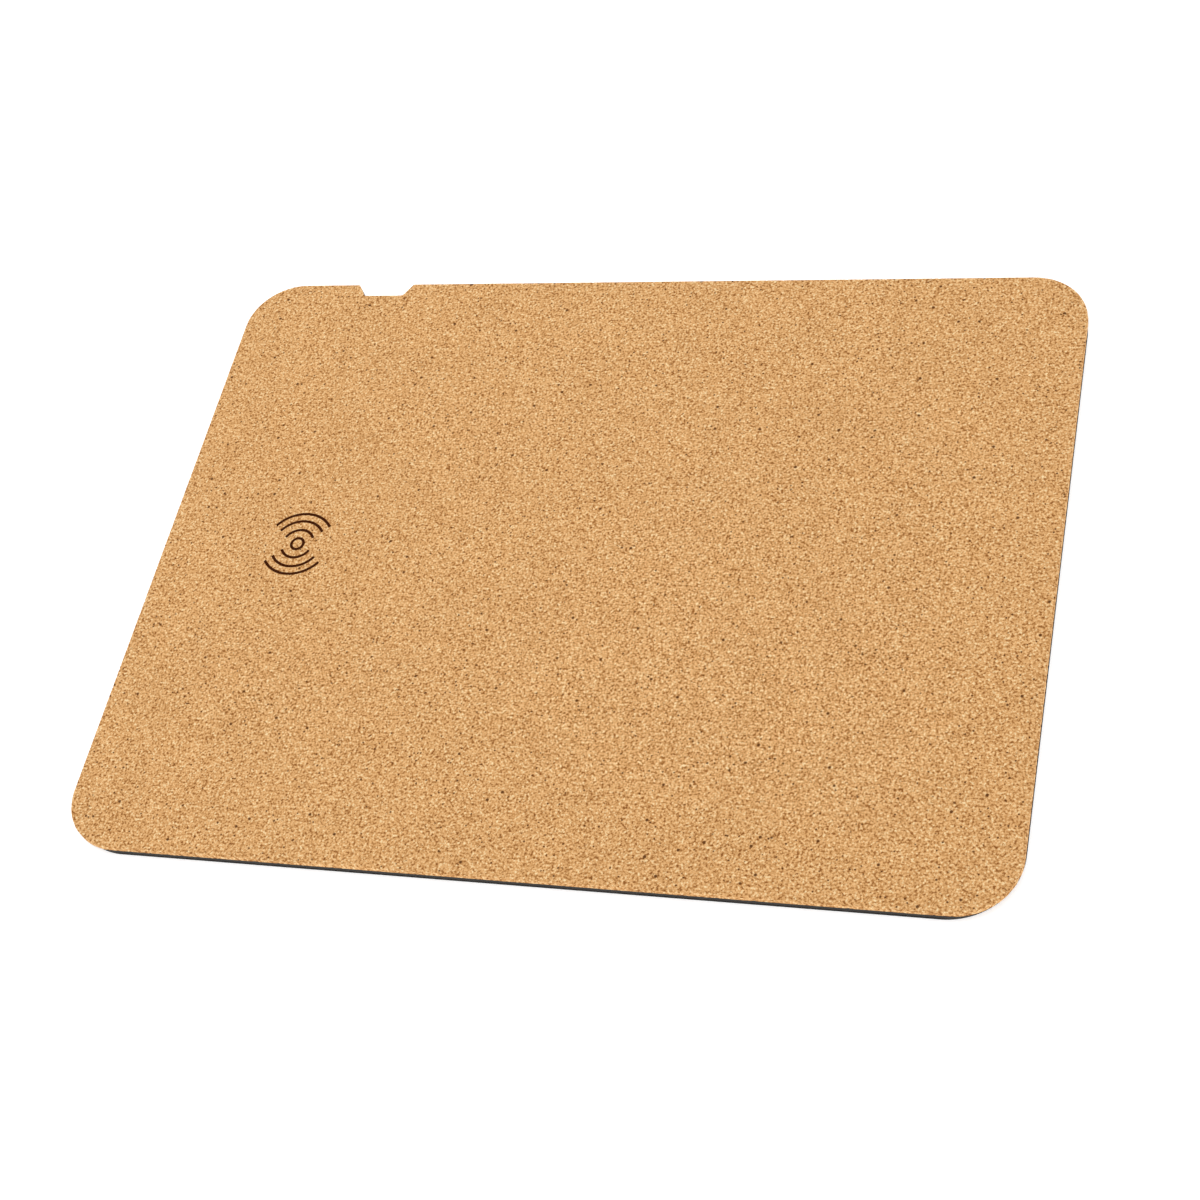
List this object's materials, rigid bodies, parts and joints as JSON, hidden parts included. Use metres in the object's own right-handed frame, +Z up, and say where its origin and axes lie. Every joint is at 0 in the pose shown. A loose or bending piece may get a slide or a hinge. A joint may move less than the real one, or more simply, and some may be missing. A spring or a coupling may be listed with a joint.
{
  "type": "mouse pad",
  "caption": "Cork-topped mouse pad, laminated over a dark core with a wireless charging coil and a charging socket in a notch of its back edge.",
  "frame": {"origin": "centre of the underside, on the surface that the pad lies on", "axes": "+X to the right along the long side, +Y to the back edge with the charging notch, +Z up out of the cork"},
  "size_m": [0.3, 0.23, 0.005],
  "materials": {
    "cork": "fine-grained agglomerated cork, matt",
    "core_board": "die-cut dark board",
    "base_rubber": "fine non-slip texture",
    "adhesive_film": "thin double-sided film, brownish on the dark core",
    "ferrite": "matt",
    "black_plastic": "satin",
    "copper_wire": "enamelled litz wire",
    "foam": "matt foam",
    "amber_tape": "gloss",
    "circuit_board": "solder mask",
    "choke_grey": "matt",
    "capacitor_ceramic": "satin, with tinned ends",
    "solder": "bright",
    "socket_steel": "drawn and plated",
    "contact_gold": "plated, bright"
  },
  "bodies": {
    "root": {"base_sheet": "base_rubber", "base_film": "adhesive_film", "core_sheet": "core_board", "cork_film": "adhesive_film", "cork_sheet": "cork", "shield_sheet": "ferrite", "coil_carrier": "black_plastic", "charging_coil": "copper_wire", "coil_pad": "foam", "lead_tape_1": "amber_tape", "lead_tape_2": "amber_tape", "board_pad": "foam", "circuit_board": "circuit_board", "controller_chip": "black_plastic", "driver_chip_left": "black_plastic", "driver_chip_right": "black_plastic", "choke": "choke_grey", "resonance_capacitor_1": "capacitor_ceramic", "resonance_capacitor_2": "capacitor_ceramic", "resonance_capacitor_3": "capacitor_ceramic", "resonance_capacitor_4": "capacitor_ceramic", "supply_capacitor_1": "capacitor_ceramic", "supply_capacitor_2": "capacitor_ceramic", "supply_capacitor_3": "capacitor_ceramic", "sense_resistor": "black_plastic", "thermistor": "black_plastic", "solder_joint_1": "solder", "solder_joint_2": "solder", "socket_shell": "socket_steel", "socket_tongue": "black_plastic", "contact_ground_lower": "contact_gold", "contact_ground_upper": "contact_gold", "contact_supply_lower": "contact_gold", "contact_supply_upper": "contact_gold", "contact_sense_lower": "contact_gold", "contact_sense_upper": "contact_gold"}
  },
  "joints": []
}
